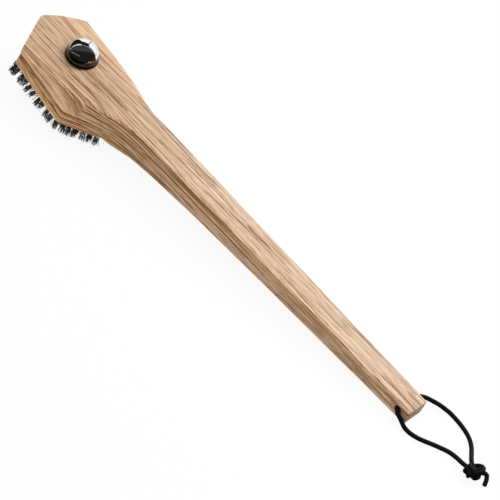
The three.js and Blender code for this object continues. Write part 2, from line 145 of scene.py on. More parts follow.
class MetalSettings(bpy.types.PropertyGroup):
    """The chrome dome nut and the plated fasteners."""
    dome_radius: length_property("Dome radius", "Outer radius of the dome nut", 0.017)
    dome_skirt: length_property("Skirt", "Upright rim under the rounded part", 0.0022)
    dome_rise: length_property("Rise", "Height of the rounded part", 0.016)
    dome_wall: length_property("Wall", "Thickness of the dome's shell", 0.0012)
    chrome: colour_property("Chrome", "Colour of the chrome", (0.83, 0.84, 0.85))
    steel: colour_property("Steel", "Colour of the plated steel", (0.55, 0.54, 0.52))


class CordSettings(bpy.types.PropertyGroup):
    """The hanging cord."""
    diameter: length_property("Diameter", "Diameter of the cord", CORD_DIAMETER)
    colour: colour_property("Cord colour", "Colour of the waxed cord", (0.0035, 0.0035, 0.0045))


# ---- mesh tools -------------------------------------------------------------------

WELD_DISTANCE = 1e-6
FLAT_ANGLE = math.radians(0.4)
TURNED_WELD = 1e-7


def link_mesh(name, bm):
    """A new object in the scene with the bmesh as its mesh."""
    mesh = bpy.data.meshes.new(name)
    bm.to_mesh(mesh)
    bm.free()
    piece = bpy.data.objects.new(name, mesh)
    bpy.context.scene.collection.objects.link(piece)
    return piece


def shade(piece, degrees):
    """Smooth shading with a hard edge wherever the faces turn by more than the angle."""
    piece.data.shade_smooth()
    piece.data.set_sharp_from_angle(angle=math.radians(degrees))


def dress(piece, material, body, nodes=()):
    """Gives a piece its material, its body and the nodes that it replaces."""
    piece.data.materials.clear()
    piece.data.materials.append(material)
    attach(piece, body)
    if nodes:
        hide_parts(*nodes)
    return piece


def merged_copy(node):
    """A welded copy of a node of the model, its flat faces made whole."""
    bm = bmesh.new()
    bm.from_mesh(frame["nodes"][node].data)
    bmesh.ops.remove_doubles(bm, verts=bm.verts, dist=WELD_DISTANCE)
    bmesh.ops.dissolve_limit(bm, angle_limit=FLAT_ANGLE, verts=bm.verts, edges=bm.edges)
    return bm


def weighted(piece):
    """Lets the large faces set the shading where they meet small ones."""
    modifier = piece.modifiers.new("weighted", "WEIGHTED_NORMAL")
    modifier.mode = "FACE_AREA"
    modifier.weight = 60
    modifier.keep_sharp = True


def bevelled(piece, width, degrees, segments=3):
    """Rounds the edges whose faces turn by more than the angle."""
    modifier = piece.modifiers.new("bevel", "BEVEL")
    modifier.limit_method = "ANGLE"
    modifier.angle_limit = math.radians(degrees)
    modifier.width = width
    modifier.segments = segments
    modifier.use_clamp_overlap = True


def turned(bm, profile, steps):
    """Adds a piece turned about Z from a closed or open profile of (radius, height)."""
    verts = [bm.verts.new((radius, 0, height)) for radius, height in profile]
    edges = [bm.edges.new(pair) for pair in zip(verts, verts[1:])]
    bmesh.ops.spin(bm, geom=verts + edges, axis=(0, 0, 1), cent=(0, 0, 0),
                   angle=2 * math.pi, steps=steps, use_merge=True)
    bmesh.ops.remove_doubles(bm, verts=bm.verts, dist=TURNED_WELD)
    bmesh.ops.recalc_face_normals(bm, faces=bm.faces)


# ---- shader tools -----------------------------------------------------------------

def new_material(name):
    """A material, its node tree and its Principled shader."""
    material = bpy.data.materials.new(name)
    material.use_nodes = True
    tree = material.node_tree
    return material, tree, tree.nodes["Principled BSDF"]


def maths(tree, operation, *inputs, clamp=False):
    """A Math node over sockets or plain numbers."""
    node = tree.nodes.new("ShaderNodeMath")
    node.operation = operation
    node.use_clamp = clamp
    for i, value in enumerate(inputs):
        feed(tree, value, node.inputs[i])
    return node.outputs[0]


def feed(tree, value, socket):
    """Links a socket to an input, or sets the input to a plain value."""
    if isinstance(value, bpy.types.NodeSocket):
        tree.links.new(value, socket)
    else:
        socket.default_value = value


def mix_colour(tree, factor, first, second, blend="MIX"):
    node = tree.nodes.new("ShaderNodeMix")
    node.data_type = "RGBA"
    node.blend_type = blend
    feed(tree, factor, node.inputs[0])
    for socket, value in ((node.inputs[6], first), (node.inputs[7], second)):
        feed(tree, (*value, 1) if isinstance(value, tuple) else value, socket)
    return node.outputs[2]


def mix_value(tree, factor, first, second):
    node = tree.nodes.new("ShaderNodeMix")
    feed(tree, factor, node.inputs[0])
    feed(tree, first, node.inputs[2])
    feed(tree, second, node.inputs[3])
    return node.outputs[0]


def stretched_noise(tree, vector, scale, detail=2.0, roughness=0.5):
    """Noise whose cells are 1 / scale metres long on each axis."""
    mapping = tree.nodes.new("ShaderNodeMapping")
    mapping.inputs["Scale"].default_value = scale
    tree.links.new(vector, mapping.inputs["Vector"])
    noise = tree.nodes.new("ShaderNodeTexNoise")
    noise.inputs["Scale"].default_value = 1
    noise.inputs["Detail"].default_value = detail
    noise.inputs["Roughness"].default_value = roughness
    tree.links.new(mapping.outputs["Vector"], noise.inputs["Vector"])
    return noise.outputs["Fac"]


def ramp(tree, value, low, high):
    """0 below low and 1 above high, eased between."""
    node = tree.nodes.new("ShaderNodeMapRange")
    node.interpolation_type = "SMOOTHSTEP"
    tree.links.new(value, node.inputs["Value"])
    node.inputs["From Min"].default_value = low
    node.inputs["From Max"].default_value = high
    return node.outputs["Result"]


def new_group(name, inputs, outputs):
    """A shader node group with its sockets, and its input and output nodes."""
    group = bpy.data.node_groups.new(name, "ShaderNodeTree")
    for label, kind, default in inputs:
        socket = group.interface.new_socket(label, in_out="INPUT", socket_type=kind)
        if default is not None:
            socket.default_value = default
    for label, kind in outputs:
        group.interface.new_socket(label, in_out="OUTPUT", socket_type=kind)
    return group, group.nodes.new("NodeGroupInput"), group.nodes.new("NodeGroupOutput")


# Up to a place along the handle the head is a little darker and browner, and the sloping
# and upright sides are painted warmer and lighter than the top: their warmer grain, and a
# painted fill light.
HEAD_HUE = (0.85, 0.80, 0.73)
SIDE_WARMTH_AND_LIGHT = (1.2, 1.12, 1.0)
HEAD_HUE_FROM = 0.02
HEAD_HUE_TO = 0.2

# How far the grain wanders sideways, in metres, and how slowly, in cells to the metre.
WANDER = 0.003
WANDER_CELLS = (4, 16, 16)

# The layers of the oak: cells to the metre along and across the grain, detail,
# roughness, and the values between which the layer comes in.
OAK_LAYERS = {
    "bands": (5, 80, 2, 0.5, 0.38, 0.66),
    "streaks": (8, 560, 1, 0.5, 0.47, 0.56),
    "lines": (14, 600, 0, 0.5, 0.53, 0.57),
    "fine": (30, 1200, 0, 0.5, 0.51, 0.56),
    "bright": (14, 640, 0, 0.5, 0.53, 0.58),
    "pores": (80, 880, 1, 0.5, 0.56, 0.64),
    "strong": (7, 60, 1, 0.5, 0.36, 0.6),
}
BRIGHT_TINT = (1.15, 1.17, 1.22)

# The depths of the grain on the top, the sides and the ends of each piece.
HANDLE_DEPTHS = (0.12, 0.6, 0.45)
BLOCK_DEPTHS = (0.4, 0.62, 0.62)

# How little the grain changes through the wood, and where by the slope of a face the
# grain of the sides and of the ends takes over.
THROUGH = 0.06
SIDE_FROM = 0.42
SIDE_TO = 0.26
END_FROM = 0.9
END_TO = 0.97
CREASE = 35


def oak_group():
    """Oak sawn along X: soft growth bands, dense streaks, fine dark lines and short open pores."""
    name = "oak_grain"
    if name in bpy.data.node_groups:
        return bpy.data.node_groups[name]
    tree, given, out = new_group(
        name,
        [("Vector", "NodeSocketVector", None), ("Light", "NodeSocketColor", (0.7, 0.5, 0.3, 1)),
         ("Dark", "NodeSocketColor", (0.4, 0.25, 0.12, 1)),
         ("Line", "NodeSocketColor", (0.2, 0.1, 0.05, 1)), ("Depth", "NodeSocketFloat", 0.5)],
        [("Color", "NodeSocketColor"), ("Roughness", "NodeSocketFloat"), ("Height", "NodeSocketFloat")])
    depth = given.outputs["Depth"]
    wander = stretched_noise(tree, given.outputs["Vector"], WANDER_CELLS, 1)
    bend = tree.nodes.new("ShaderNodeVectorMath")
    bend.operation = "MULTIPLY_ADD"
    tree.links.new(wander, bend.inputs[0])
    bend.inputs[1].default_value = (0, WANDER, WANDER)
    tree.links.new(given.outputs["Vector"], bend.inputs[2])
    layers = {}
    for layer, (along, across, detail, roughness, low, high) in OAK_LAYERS.items():
        noise = stretched_noise(tree, bend.outputs[0], (along, across, across), detail, roughness)
        layers[layer] = ramp(tree, noise, low, high)

    def deeper(grows, least):
        return maths(tree, "MULTIPLY_ADD", depth, grows, least)

    tone = maths(tree, "MULTIPLY", layers["streaks"], deeper(0.45, 0.04))
    tone = maths(tree, "MULTIPLY_ADD", layers["bands"], 0.14, tone)
    tone = maths(tree, "MULTIPLY_ADD", depth, 0.25, tone, clamp=True)
    colour = mix_colour(tree, tone, given.outputs["Light"], given.outputs["Dark"])
    colour = mix_colour(tree, layers["bright"], colour, BRIGHT_TINT, "MULTIPLY")
    marked = maths(tree, "MULTIPLY_ADD", layers["strong"], 0.22, deeper(0.6, 0.3))
    marked = maths(tree, "MULTIPLY", layers["lines"], marked)
    marked = maths(tree, "MULTIPLY_ADD", layers["fine"], deeper(0.3, 0.26), marked)
    marked = maths(tree, "MULTIPLY_ADD", layers["pores"], deeper(0.5, 0.22), marked, clamp=True)
    colour = mix_colour(tree, marked, colour, given.outputs["Line"])
    tree.links.new(colour, out.inputs["Color"])
    tree.links.new(maths(tree, "MULTIPLY_ADD", marked, 0.2, 0.52), out.inputs["Roughness"])
    tree.links.new(maths(tree, "MULTIPLY", marked, -1.0), out.inputs["Height"])
    return tree


def along_handle(tree, turn):
    """X, Y and Z measured from the bolt's place on the handle, turned about Y, and the normal."""
    place = tree.nodes.new("ShaderNodeTexCoord")
    mapping = tree.nodes.new("ShaderNodeMapping")
    mapping.vector_type = "TEXTURE"
    mapping.inputs["Location"].default_value = BOLT_POINT
    mapping.inputs["Rotation"].default_value = (0, turn, 0)
    tree.links.new(place.outputs["Object"], mapping.inputs["Vector"])
    parts = tree.nodes.new("ShaderNodeSeparateXYZ")
    tree.links.new(mapping.outputs["Vector"], parts.inputs[0])
    return *parts.outputs, place.outputs["Normal"]


def oak_material(name, turn, light, dark, line, depths):
    """Oak whose grain lies along the piece. The depths are those of its top, sides and ends."""
    material, tree, shader = new_material(name)
    x, y, z, normal = along_handle(tree, turn)
    looks = []
    for along, across, through, depth in zip((x, x, y), (y, z, z), (z, y, x), depths):
        swap = tree.nodes.new("ShaderNodeCombineXYZ")
        tree.links.new(along, swap.inputs[0])
        tree.links.new(across, swap.inputs[1])
        tree.links.new(maths(tree, "MULTIPLY", through, THROUGH), swap.inputs[2])
        grain = tree.nodes.new("ShaderNodeGroup")
        grain.node_tree = oak_group()
        tree.links.new(swap.outputs[0], grain.inputs["Vector"])
        for socket, value in (("Light", light), ("Dark", dark), ("Line", line)):
            grain.inputs[socket].default_value = (*value, 1)
        grain.inputs["Depth"].default_value = depth
        looks.append(grain.outputs)
    facing = tree.nodes.new("ShaderNodeSeparateXYZ")
    tree.links.new(normal, facing.inputs[0])
    side = ramp(tree, maths(tree, "ABSOLUTE", facing.outputs["Z"]), SIDE_FROM, SIDE_TO)
    end = ramp(tree, maths(tree, "ABSOLUTE", facing.outputs["X"]), END_FROM, END_TO)

    def blended(mix, socket):
        body = mix(tree, side, looks[0][socket], looks[1][socket])
        return mix(tree, end, body, looks[2][socket])

    bump = tree.nodes.new("ShaderNodeBump")
    bump.inputs["Strength"].default_value = 0.45
    bump.inputs["Distance"].default_value = 0.0003
    tree.links.new(blended(mix_value, "Height"), bump.inputs["Height"])
    head = ramp(tree, x, HEAD_HUE_TO, HEAD_HUE_FROM)
    # Faces turned to either side are painted lighter and warmer: a painted fill light, and the warmer grain of the
    # sides.
    slope = ramp(tree, maths(tree, "ABSOLUTE", facing.outputs["Y"]), 0.1, 0.5)
    colour = mix_colour(tree, slope, blended(mix_colour, "Color"), SIDE_WARMTH_AND_LIGHT, "MULTIPLY")
    colour = mix_colour(tree, head, colour, HEAD_HUE, "MULTIPLY")
    tree.links.new(colour, shader.inputs["Base Color"])
    tree.links.new(blended(mix_value, "Roughness"), shader.inputs["Roughness"])
    tree.links.new(bump.outputs["Normal"], shader.inputs["Normal"])
    shader.inputs["Specular IOR Level"].default_value = 0.3
    return material


def metal_material(name, colour, roughness, scratch, grain=(400, 400, 400), metallic=1.0):
    """Metal whose roughness wanders a little, with fine rubbing marks a little darker."""
    material, tree, shader = new_material(name)
    place = tree.nodes.new("ShaderNodeTexCoord").outputs["Object"]
    smears = stretched_noise(tree, place, (180, 180, 180), 3)
    marks = stretched_noise(tree, place, grain, 2)
    tree.links.new(maths(tree, "MULTIPLY_ADD", smears, scratch, roughness), shader.inputs["Roughness"])
    darker = tuple(c * 0.75 for c in colour)
    tint = mix_colour(tree, maths(tree, "MULTIPLY", marks, 0.3), tuple(colour), darker)
    tree.links.new(tint, shader.inputs["Base Color"])
    shader.inputs["Metallic"].default_value = metallic
    return material


PLAIT_PITCH = 0.0024
PLAITS_AROUND = 5


def cord_material(colour):
    """Waxed braided cord: crossing plaits on the piece's own UV map."""
    material, tree, shader = new_material("waxed_cord")
    uv = tree.nodes.new("ShaderNodeUVMap")
    uv.uv_map = "UVMap"
    parts = tree.nodes.new("ShaderNodeSeparateXYZ")
    tree.links.new(uv.outputs["UV"], parts.inputs[0])
    along = maths(tree, "MULTIPLY", parts.outputs["X"], 2 * math.pi / PLAIT_PITCH)
    around = maths(tree, "MULTIPLY", parts.outputs["Y"], 2 * math.pi * PLAITS_AROUND)
    left = maths(tree, "SINE", maths(tree, "ADD", along, around))
    right = maths(tree, "SINE", maths(tree, "SUBTRACT", along, around))
    plait = maths(tree, "MULTIPLY", left, right)
    plait = maths(tree, "MULTIPLY_ADD", plait, 0.5, 0.5)
    place = tree.nodes.new("ShaderNodeTexCoord").outputs["Object"]
    fuzz = stretched_noise(tree, place, (900, 900, 900), 2)
    lighter = tuple(c * 3.2 for c in colour)
    tint = mix_colour(tree, maths(tree, "MULTIPLY", plait, fuzz), tuple(colour), lighter)
    tree.links.new(tint, shader.inputs["Base Color"])
    tree.links.new(maths(tree, "MULTIPLY_ADD", fuzz, 0.25, 0.38), shader.inputs["Roughness"])
    bump = tree.nodes.new("ShaderNodeBump")
    bump.inputs["Strength"].default_value = 0.6
    bump.inputs["Distance"].default_value = 0.0003
    tree.links.new(plait, bump.inputs["Height"])
    tree.links.new(bump.outputs["Normal"], shader.inputs["Normal"])
    shader.inputs["Specular IOR Level"].default_value = 0.35
    return material


# ---- pieces -------------------------------------------------------------------------

class PieceOperator:
    """What every operator of this file shares."""
    bl_options = {"REGISTER", "UNDO"}


class BRUSH_OT_handle(PieceOperator, bpy.types.Operator):
    """Dress the oak handle"""
    bl_idname = "brush.handle"
    bl_label = "Handle"

    def execute(self, context):
        oak = context.scene.oak_settings
        material = oak_material("handle_oak", REST_TILT, tuple(oak.handle_light), tuple(oak.handle_dark),
                                tuple(oak.handle_line), HANDLE_DEPTHS)
        piece = link_mesh("handle_oak", merged_copy("handle"))
        shade(piece, CREASE)
        bevelled(piece, oak.edge_round, CREASE)
        weighted(piece)
        dress(piece, material, "handle_body", ["handle"])
        return {"FINISHED"}


class BRUSH_OT_block(PieceOperator, bpy.types.Operator):
    """Dress the oak block that holds the tufts"""
    bl_idname = "brush.block"
    bl_label = "Brush block"

    def execute(self, context):
        oak = context.scene.oak_settings
        material = oak_material("block_oak", REST_TILT + SEAT_TILT, tuple(oak.block_light),
                                tuple(oak.block_dark), tuple(oak.block_line), BLOCK_DEPTHS)
        piece = link_mesh("brush_block_oak", merged_copy("brush_block"))
        shade(piece, CREASE)
        weighted(piece)
        dress(piece, material, "brush_head", ["brush_block"])
        return {"FINISHED"}


# The block and the rows of tufts, as the model has them.
BLOCK_THICK = 14 * MM
TUFT_OUT = 12 * MM
TUFT_PITCH = 6.8 * MM
TUFT_HALF = 1.6 * MM
ROW_SPACING = 9 * MM

# Where the added tufts at the rear and the front end of the outer rows stand.
ROW_STAGGER = 5.1 * MM
FRONT_FILL = 4.6 * MM

# One tuft: its radius at the root and how deep the root sits, then how far the wires
# flare at their tips, how much more every sixth flares, and how uneven the tips are.
# TUFT_ROOT, TIP_FLARE, TIP_SCATTER and TIP_SHORTFALL are in millimetres.
TUFT_KINDS = 6
WIRE_STEPS = 7
TUFT_ROOT = 1.6
ROOT_DEPTH = 4 * MM
GOLDEN_ANGLE = 2.39996
TIP_FLARE = (1.8, 3.0)
STRAY_EACH = 6
STRAY_FLARE = 1.8
TIP_SCATTER = 0.95
TIP_EXTRA = 2.4 * MM
TIP_SHORTFALL = 3.0

# How the tufts lean: at random, and outwards near an edge, which fades with distance.
LEAN_SPREAD = 0.14
SPLAY_FADE = 8 * MM
TUFT_EDGE = 5.2 * MM

# No wire reaches past these: the half width of the tufts and the lowest point.
TUFT_LIMIT_Y = 47 * MM
TUFT_LOWEST = 0.05 * MM

# The sides of the block from its front tip round to the middle of its rear: both ends
# of each, in millimetres, and how far the tufts along it splay, in degrees.
BLOCK_SIDES = [
    ((-58.6, 0), (-38.3, 43.4), 4),
    ((-38.3, 43.4), (33, 46), 17),
    ((33, 46), (68, 15.5), 32),
    ((68, 15.5), (68, 0), 20),
]


def crimped_wire(bm, foot, tip, radius, crimp, phase):
    """One wire from its foot to its tip, its waves in a plane of its own."""
    along = (tip - foot) / WIRE_STEPS
    aside = Vector((math.cos(phase), math.sin(phase), 0)) * crimp
    place = Matrix.Translation(foot) @ Matrix.Rotation(phase, 4, "Z")
    ring = bmesh.ops.create_circle(bm, cap_ends=True, segments=3, radius=radius, matrix=place)["verts"]
    face = ring[0].link_faces[0]
    for step in range(WIRE_STEPS):
        made = bmesh.ops.extrude_face_region(bm, geom=[face])["geom"]
        face = next(item for item in made if isinstance(item, bmesh.types.BMFace))
        wave = aside * (2 if step % 2 else -2)
        bmesh.ops.translate(bm, vec=along + (wave if step else wave / 2), verts=face.verts)


def tuft_mesh(kind, wires, radius, crimp, draw):
    """A tuft with its root at the origin's height, its wires pointing down and one in six astray."""
    bm = bmesh.new()
    for i in range(wires):
        spread = math.sqrt((i + 0.5) / wires)
        angle = i * GOLDEN_ANGLE + draw.uniform(-0.3, 0.3)
        out = Vector((math.cos(angle), math.sin(angle), 0))
        foot = out * spread * TUFT_ROOT * MM
        foot.z = -BLOCK_THICK + ROOT_DEPTH
        stray = i % STRAY_EACH == STRAY_EACH - 1
        flare = draw.uniform(*TIP_FLARE) * MM * (STRAY_FLARE if stray else 1)
        scatter = Vector((draw.gauss(0, TIP_SCATTER), draw.gauss(0, TIP_SCATTER), 0))
        tip = out * spread * flare + scatter * MM
        tip.z = -BLOCK_THICK - TUFT_OUT - TIP_EXTRA + abs(draw.gauss(0, TIP_SHORTFALL)) * MM
        crimped_wire(bm, foot, tip, radius, crimp, draw.uniform(0, 2 * math.pi))
    bmesh.ops.recalc_face_normals(bm, faces=bm.faces)
    mesh = bpy.data.meshes.new(f"tuft_kind_{kind}")
    bm.to_mesh(mesh)
    bm.free()
    return mesh


def tuft_lean(x, y, draw):
    """Worn tufts splay outwards over the edges of the block that they stand near."""
    splay = Vector((0, 0))
    for start, end, most in BLOCK_SIDES:
        along = (Vector(end) - Vector(start)).normalized()
        outward = Vector((-along.y, along.x))
        inset = (Vector(start) * MM - Vector((x, abs(y)))).dot(outward)
        splay += outward * math.radians(most) * math.exp((TUFT_EDGE - inset) / SPLAY_FADE)
    aside = math.copysign(splay.y, y)
    return (Matrix.Rotation(draw.gauss(0, LEAN_SPREAD) + aside, 4, "X")
            @ Matrix.Rotation(draw.gauss(0, LEAN_SPREAD) - splay.x, 4, "Y"))


def tuft_places(node):
    """Where the tufts of one row stand in the block's frame, with one more at the ends of the outer rows."""
    into_block = BLOCK_FRAME.inverted()
    points = [into_block @ vert.co for vert in frame["nodes"][node].data.vertices]
    low = min(p.x for p in points) + TUFT_HALF
    high = max(p.x for p in points) - TUFT_HALF
    y = (min(p.y for p in points) + max(p.y for p in points)) / 2
    count = round((high - low) / TUFT_PITCH) + 1
    places = [(low + i * TUFT_PITCH, y) for i in range(count)]
    if abs(y) > 2 * ROW_SPACING:
        places.append((high + ROW_STAGGER, y - math.copysign(ROW_SPACING / 2, y)))
        places.append((low - FRONT_FILL, y))
    return places


class BRUSH_OT_tufts(PieceOperator, bpy.types.Operator):
    """Make the rows of crimped wire tufts"""
    bl_idname = "brush.tufts"
    bl_label = "Wire tufts"

    def execute(self, context):
        wire = context.scene.wire_settings
        draw = random.Random(wire.seed)
        kinds = [tuft_mesh(k, wire.wires, wire.radius, wire.crimp, draw) for k in range(TUFT_KINDS)]
        root = Matrix.Translation((0, 0, BLOCK_THICK))
        material = metal_material("drawn_wire", wire.colour, roughness=0.35, scratch=0.2,
                                  grain=(300, 300, 300), metallic=0.4)
        for side in ("left", "right"):
            rows = sorted(n for n in frame["nodes"] if n.startswith(f"tufts_{side}_"))
            for part, chosen in (("inner", rows[:3]), ("outer", rows[3:])):
                bm = bmesh.new()
                for row in chosen:
                    for x, y in tuft_places(row):
                        lean = tuft_lean(x, y, draw)
                        turn = Matrix.Rotation(draw.uniform(0, 2 * math.pi), 4, "Z")
                        pivot = Matrix.Translation((x, y, -BLOCK_THICK))
                        mesh = draw.choice(kinds).copy()
                        mesh.transform(BLOCK_FRAME @ pivot @ lean @ turn @ root)
                        bm.from_mesh(mesh)
                        bpy.data.meshes.remove(mesh)
                for vert in bm.verts:
                    vert.co.y = max(-TUFT_LIMIT_Y, min(TUFT_LIMIT_Y, vert.co.y))
                    vert.co.z = max(TUFT_LOWEST, vert.co.z)
                piece = link_mesh(f"wire_tufts_{side}_{part}", bm)
                piece.data.shade_smooth()
                dress(piece, material, "brush_head", chosen)
        for mesh in kinds:
            bpy.data.meshes.remove(mesh)
        return {"FINISHED"}


# The flare from the foot of the cap out to the flange's edge, in millimetres: how far out
# from the cap and how high. Then heights over the wood in the handle's frame: where the
# painted reflection of the shaded wood on the flange ends, the foot of the cap, and where
# the painted dark reflection low down is thick and where it is gone.
FLARE = [(0.0, 3.1), (0.08, 2.75), (0.28, 2.4), (0.55, 2.1), (0.8, 1.7), (0.95, 1.3), (1.0, 0.9)]
# Painted reflection: the dark brown of the shaded wood that the flange would mirror.
FLANGE_PAINTED_REFLECTION = (0.05, 0.033, 0.026)
FLANGE_TOP = 2.85 * MM
CAP_WALL = 0.45 * MM
CAP_FOOT = 3.6 * MM
# Painted dark reflection low down: where it is thick, where it is gone, and its colour.
PAINTED_REFLECTION_FOOT = 7.5 * MM
PAINTED_REFLECTION_TOP = 11 * MM
PAINTED_REFLECTION_TINT = (0.06, 0.06, 0.065)
DOME_CLEARANCE = 0.3 * MM
DOME_STEPS = 22


def chrome_material(colour):
    """Polished chrome, painted dark brown on its flange as a painted reflection of the shaded wood at its foot,
    and painted darker low down as a painted dark reflection.
    """
    material, tree, shader = new_material("polished_chrome")
    height = along_handle(tree, REST_TILT)[2]
    place = tree.nodes.new("ShaderNodeTexCoord").outputs["Object"]
    smears = stretched_noise(tree, place, (180, 180, 180), 3)
    # Below the flange's top the chrome is painted dark brown and made rougher: a painted reflection of the shaded
    # wood.
    flange = maths(tree, "MULTIPLY_ADD", smears, 0.6 * MM, height)
    above_painted_rim = ramp(tree, flange, FLANGE_TOP, FLANGE_TOP + 0.5 * MM)
    # Low down the chrome is painted darker: a painted dark reflection of the shaded wood and room.
    painted_dark_reflection = ramp(tree, maths(tree, "MULTIPLY_ADD", smears, MM, height), PAINTED_REFLECTION_TOP, PAINTED_REFLECTION_FOOT)
    bright = mix_colour(tree, painted_dark_reflection, tuple(colour), PAINTED_REFLECTION_TINT)
    tree.links.new(mix_colour(tree, above_painted_rim, FLANGE_PAINTED_REFLECTION, bright), shader.inputs["Base Color"])
    rough = mix_value(tree, above_painted_rim, 0.3, maths(tree, "MULTIPLY_ADD", smears, 0.03, 0.035))
    tree.links.new(rough, shader.inputs["Roughness"])
    shader.inputs["Metallic"].default_value = 1
    return material


class BRUSH_OT_dome(PieceOperator, bpy.types.Operator):
    """Turn the chrome dome nut"""
    bl_idname = "brush.dome"
    bl_label = "Dome nut"

    def execute(self, context):
        metal = context.scene.metal_settings
        reach = metal.dome_radius
        cap = reach - FLARE[-1][0] * MM
        top = DOME_CLEARANCE + metal.dome_skirt + metal.dome_rise

        def arc(radius, high):
            angles = [i / DOME_STEPS * math.pi / 2 for i in range(DOME_STEPS)]
            rise = high - CAP_FOOT
            return [(radius * math.cos(a), CAP_FOOT + rise * math.sin(a)) for a in angles] + [(0, high)]

        profile = list(reversed(arc(cap, top)))
        profile += [(cap + out * MM, height * MM) for out, height in FLARE]
        profile += [(reach - 0.1 * MM, 0.5 * MM), (reach - 0.5 * MM, DOME_CLEARANCE)]
        profile += [(cap - CAP_WALL, DOME_CLEARANCE)]
        profile += arc(cap - CAP_WALL, top - metal.dome_wall)
        bm = bmesh.new()
        turned(bm, profile, 96)
        bmesh.ops.transform(bm, matrix=HANDLE_FRAME, verts=bm.verts)
        piece = link_mesh("dome_nut_chrome", bm)
        shade(piece, 50)
        dress(piece, chrome_material(metal.chrome), "dome_nut", ["dome_shell"])
        return {"FINISHED"}


# The bolt in the handle's frame. Its rounded head is radius and drop, in millimetres.
BOLT_TOP = 10.5 * MM
BOLT_UNDER = -29.6 * MM
BOLT_CREST = 2.97 * MM
BOLT_ROOT = 2.45 * MM
THREAD_LOW = -22 * MM
THREAD_PITCH = MM
THREAD_STEPS = 24
BOLT_HEAD = [(6.9, 0.7), (6.2, 1.7), (4.6, 2.5), (2.4, 2.9), (0, 3)]
HEAD_RADIUS = 7 * MM
RIDGE_ROOT = BOLT_ROOT - 0.2 * MM


def threaded_bolt(bm):
    """A round-headed M6 bolt: a core with a helical ridge of 1 mm pitch."""
    profile = [(0, BOLT_TOP), (BOLT_ROOT - 0.5 * MM, BOLT_TOP), (BOLT_ROOT, BOLT_TOP - 0.6 * MM),
               (BOLT_ROOT, THREAD_LOW), (BOLT_CREST, THREAD_LOW - 0.5 * MM), (BOLT_CREST, BOLT_UNDER),
               (HEAD_RADIUS, BOLT_UNDER)]
    profile += [(radius * MM, BOLT_UNDER - drop * MM) for radius, drop in BOLT_HEAD]
    turned(bm, profile, 32)
    turns = int((BOLT_TOP - THREAD_LOW) / THREAD_PITCH) - 1
    ridge = [(RIDGE_ROOT, -0.42), (BOLT_CREST, -0.05), (BOLT_CREST, 0.05), (RIDGE_ROOT, 0.42)]
    verts = [bm.verts.new((radius, 0, THREAD_LOW + height * THREAD_PITCH)) for radius, height in ridge]
    face = bm.faces.new(verts)
    rise = (0, 0, THREAD_PITCH / THREAD_STEPS)
    bmesh.ops.spin(bm, geom=[face], axis=(0, 0, 1), cent=(0, 0, 0), dvec=rise,
                   angle=turns * 2 * math.pi, steps=turns * THREAD_STEPS)
    bmesh.ops.recalc_face_normals(bm, faces=bm.faces)


def slot_of(node):
    """The material slot that the record gives a node."""
    return next(part["material_slot"] for part in frame["record"]["subparts"] if part["node"] == node)


class BRUSH_OT_fasteners(PieceOperator, bpy.types.Operator):
    """Dress the bolt, the washers, the nut's insert and the dowels"""
    bl_idname = "brush.fasteners"
    bl_label = "Fasteners"

    def execute(self, context):
        metal = context.scene.metal_settings
        material = metal_material("plated_steel", metal.steel, roughness=0.28, scratch=0.18)
        bm = bmesh.new()
        threaded_bolt(bm)
        bmesh.ops.transform(bm, matrix=HANDLE_FRAME, verts=bm.verts)
        bolt = link_mesh("clamp_bolt_threaded", bm)
        shade(bolt, 30)
        dress(bolt, material, "brush_head", ["clamp_bolt"])
        for body, nodes in frame["record"]["behaviour"]["bodies"].items():
            for node in nodes:
                if slot_of(node) == "fastener_steel" and node != "clamp_bolt":
                    piece = link_mesh(f"{node}_steel", merged_copy(node))
                    shade(piece, 40)
                    bevelled(piece, 0.15 * MM, 40, segments=2)
                    dress(piece, material, body, [node])
        return {"FINISHED"}


ROUTE_STEPS = 4
WRAP_STEPS = 20
TUCK_STEPS = 3


def smooth_route(points):
    """Points of a Catmull-Rom curve through the route."""
    vectors = [Vector(p) for p in points]
    padded = [2 * vectors[0] - vectors[1], *vectors, 2 * vectors[-1] - vectors[-2]]
    dense = []
    for a, b, c, d in zip(padded, padded[1:], padded[2:], padded[3:]):
        for i in range(ROUTE_STEPS):
            t = i / ROUTE_STEPS
            dense.append(0.5 * (2 * b + (c - a) * t + (2 * a - 5 * b + 4 * c - d) * t ** 2
                                + (3 * b - a - 3 * c + d) * t ** 3))
    return dense + [vectors[-1]]


def route_length(points):
    return sum((b - a).length for a, b in zip(points, points[1:]))


def cord_tube(name, points, radius):
    """A mesh tube along the points, with its UV map in metres along and turns around."""
    curve = bpy.data.curves.new(name, "CURVE")
    curve.dimensions = "3D"
    curve.bevel_depth = radius
    curve.bevel_resolution = 4
    curve.use_fill_caps = True
    spline = curve.splines.new("POLY")
    spline.points.add(len(points) - 1)
    for place, point in zip(spline.points, points):
        place.co = (*point, 1)
    shape = bpy.data.objects.new(name, curve)
    bpy.context.scene.collection.objects.link(shape)
    bpy.context.view_layer.update()
    graph = bpy.context.evaluated_depsgraph_get()
    mesh = bpy.data.meshes.new_from_object(shape.evaluated_get(graph))
    bpy.data.objects.remove(shape)
    bpy.data.curves.remove(curve)
    bm = bmesh.new()
    bm.from_mesh(mesh)
    bpy.data.meshes.remove(mesh)
    uv = bm.loops.layers.uv.verify()
    length = route_length(points)
    for face in bm.faces:
        for loop in face.loops:
            loop[uv].uv.x *= length
    return bm


